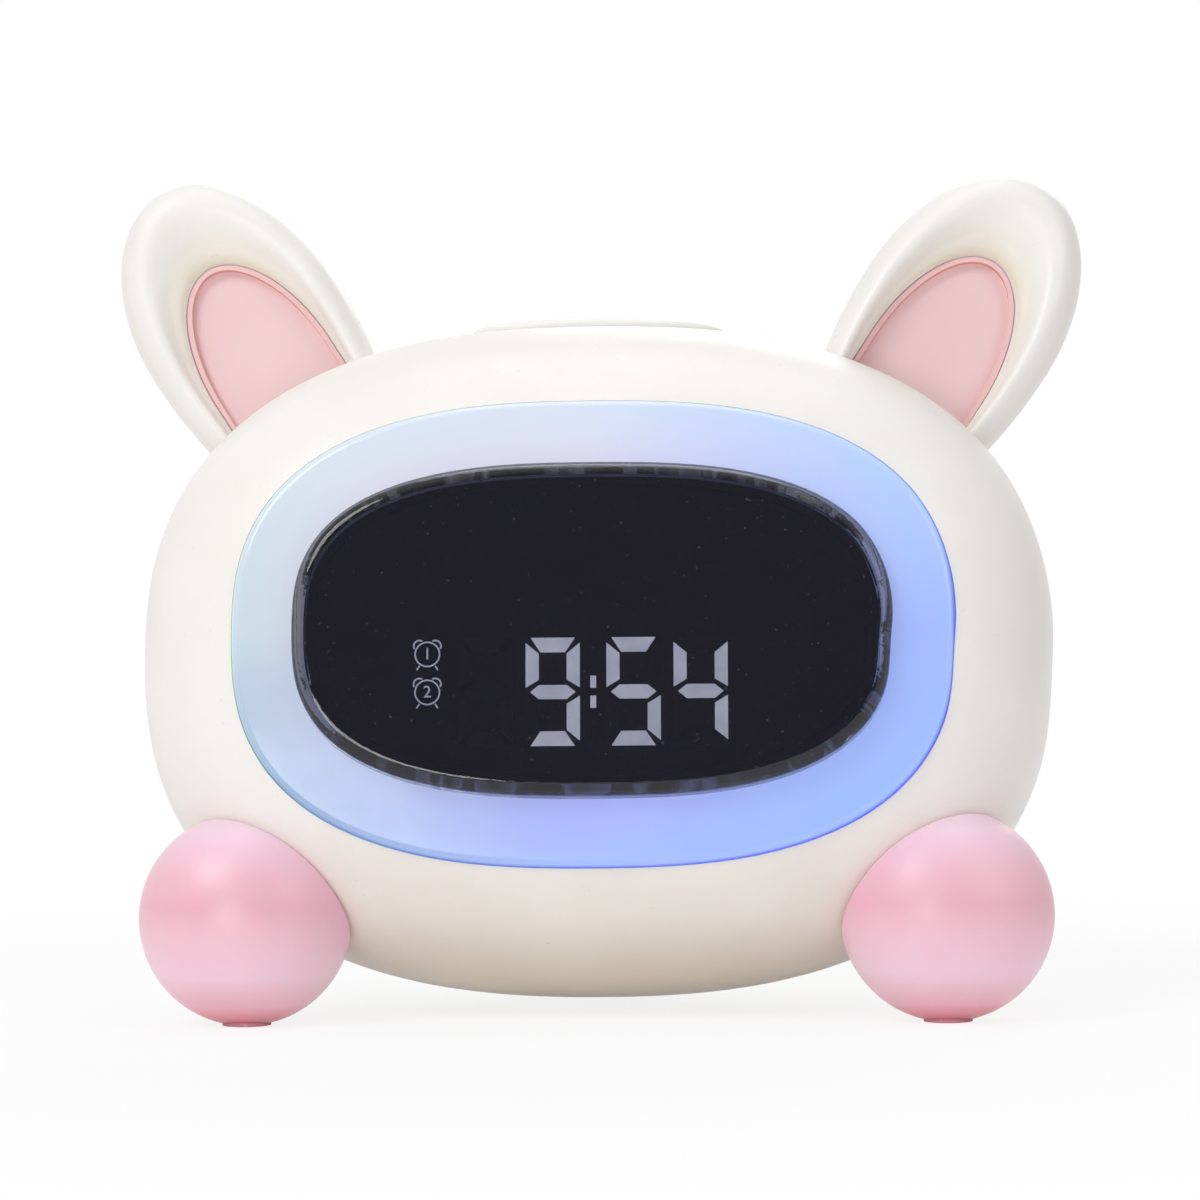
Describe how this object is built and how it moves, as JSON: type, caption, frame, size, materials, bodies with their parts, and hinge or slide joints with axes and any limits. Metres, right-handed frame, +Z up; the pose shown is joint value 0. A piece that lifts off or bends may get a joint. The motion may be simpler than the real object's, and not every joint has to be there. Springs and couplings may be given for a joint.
{
  "type": "alarm clock",
  "caption": "Rounded bedside alarm clock with two upright ears, a glowing oval ring round a dark digital display, ball feet, a press bar on top and keys on the back.",
  "frame": {"origin": "On the surface that the clock stands on, below the centre of its bounding box.", "axes": "+X to the right as seen from the front, -Y the way the display faces, +Z up."},
  "size_m": [0.1572, 0.0764, 0.1335],
  "materials": {
    "shell": "warm white moulded ABS, soft satin",
    "diffuser": "milky light-diffusing plastic with a glossy face",
    "reflector": "plain white moulded plastic",
    "smoked_lens": "smoked clear plastic, polished",
    "black_housing": "black moulded plastic",
    "lit_segment": "translucent light window, lit",
    "dark_segment": "translucent light window, unlit",
    "board": "green circuit board",
    "components": "black moulded electronic parts",
    "lamp": "small white lamp body",
    "steel": "plated steel",
    "painted_steel": "black painted pressing",
    "cone": "black pressed paper",
    "magnet": "dark ferrite",
    "cell_foil": "foil pouch",
    "foam": "black foam tape",
    "wire": "soft insulated wire",
    "key": "satin white moulded key",
    "ear_pink": "dusty pink moulded plastic, matte",
    "foot_pink": "pink moulded plastic, satin",
    "rubber": "grey rubber"
  },
  "bodies": {
    "case": {"battery_cell": "cell_foil", "battery_leads": "wire", "battery_tape": "foam", "board_parts": "components", "bracket_screws": "steel", "case_screws": "steel", "charging_socket": "steel", "dark_segments": "dark_segment", "display_frame": "black_housing", "display_lens": "smoked_lens", "display_module": "black_housing", "ear_screws": "steel", "foot_screws": "steel", "front_shell": "shell", "key_board": "board", "key_ribbon": "wire", "key_screws": "steel", "key_switches": "components", "left_ear": "shell", "left_ear_insert": "ear_pink", "left_foot": "foot_pink", "left_foot_pad": "rubber", "lens_tape": "foam", "light_reflector": "reflector", "light_ring": "diffuser", "lit_segments": "lit_segment", "main_board": "board", "main_screws": "steel", "rear_foot": "shell", "rear_foot_pad": "rubber", "rear_shell": "shell", "right_ear": "shell", "right_ear_insert": "ear_pink", "right_foot": "foot_pink", "right_foot_pad": "rubber", "ring_leds": "lamp", "snooze_bracket": "reflector", "snooze_springs": "steel", "snooze_switch": "components", "socket_tongue": "components", "speaker_cone": "cone", "speaker_frame": "painted_steel", "speaker_gasket": "foam", "speaker_leads": "wire", "speaker_magnet": "magnet"},
    "snooze": {"snooze_button": "shell", "snooze_plunger": "components"},
    "time_key_body": {"time_key": "key", "time_key_plunger": "components"},
    "alarm_key_body": {"alarm_key": "key", "alarm_key_plunger": "components"},
    "up_key_body": {"up_key": "key", "up_key_plunger": "components"},
    "down_key_body": {"down_key": "key", "down_key_plunger": "components"}
  },
  "joints": [
    {"name": "snooze_press", "type": "slide", "parent": "case", "child": "snooze", "axis": [0, -0.1822, -0.9833], "range_m": [0, 0.0009], "stiffness_N_per_m": 400, "springref_m": -0.002, "deforming": ["snooze_springs"]},
    {"name": "time_key_press", "type": "slide", "parent": "case", "child": "time_key_body", "axis": [0, -0.9833, 0.1822], "range_m": [0, 0.0008], "stiffness_N_per_m": 500, "springref_m": -0.001},
    {"name": "alarm_key_press", "type": "slide", "parent": "case", "child": "alarm_key_body", "axis": [0, -0.9833, 0.1822], "range_m": [0, 0.0008], "stiffness_N_per_m": 500, "springref_m": -0.001},
    {"name": "up_key_press", "type": "slide", "parent": "case", "child": "up_key_body", "axis": [0, -0.9833, 0.1822], "range_m": [0, 0.0008], "stiffness_N_per_m": 500, "springref_m": -0.001},
    {"name": "down_key_press", "type": "slide", "parent": "case", "child": "down_key_body", "axis": [0, -0.9833, 0.1822], "range_m": [0, 0.0008], "stiffness_N_per_m": 500, "springref_m": -0.001}
  ]
}
